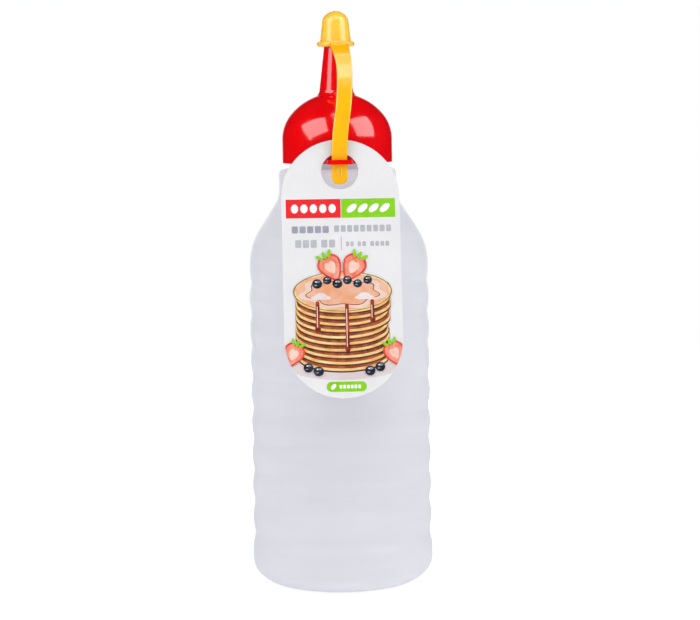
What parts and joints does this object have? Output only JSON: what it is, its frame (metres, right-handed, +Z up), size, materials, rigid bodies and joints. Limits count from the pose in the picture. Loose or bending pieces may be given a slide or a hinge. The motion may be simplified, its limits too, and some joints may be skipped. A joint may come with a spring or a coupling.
{
  "type": "sauce squeeze bottle",
  "caption": "Ribbed plastic squeeze bottle for sauce, with a domed screw-on nozzle cap, a small tip cap on a strap and a printed hang tag.",
  "frame": {"origin": "centre of the bottle's foot, on the surface it stands on", "axes": "+Z up along the bottle's axis; the eyelet, strap and hang tag face -Y"},
  "size_m": [0.0704, 0.0851, 0.2231],
  "materials": {
    "milky_plastic": "milky, slightly translucent, satin",
    "foam_liner": "soft white liner",
    "red_plastic": "glossy red",
    "yellow_plastic": "glossy warm yellow",
    "printed_card": "coated white card with a printed face"
  },
  "bodies": {
    "bottle_body": {"bottle": "milky_plastic"},
    "liner_body": {"sealing_washer": "foam_liner"},
    "cap_body": {"nozzle_cap": "red_plastic", "tether_strap": "yellow_plastic"},
    "tip_body": {"tip_cap": "yellow_plastic"},
    "tag_body": {"hang_tag": "printed_card"}
  },
  "joints": [
    {"name": "cap_lift", "type": "slide", "parent": "bottle_body", "child": "liner_body", "axis": [0, 0, 1], "range_m": [0, 0.01001]},
    {"name": "cap_unscrew", "type": "hinge", "parent": "liner_body", "child": "cap_body", "pos_m": [0, 0, 0.17], "axis": [0, 0, 1], "range_deg": [0, 720]},
    {"name": "tip_cap_pull", "type": "slide", "parent": "cap_body", "child": "tip_body", "axis": [0, 0, 1], "range_m": [0, 0.014], "deforming": ["tether_strap"]},
    {"name": "tag_sway", "type": "hinge", "parent": "cap_body", "child": "tag_body", "pos_m": [0, -0.0258, 0.16185], "axis": [0, -0.9622, 0.2723], "range_deg": [-30, 30]}
  ],
  "couplings": [
    {"joint": "cap_lift", "follows": "cap_unscrew", "m_per_rad": 0.00079577}
  ]
}
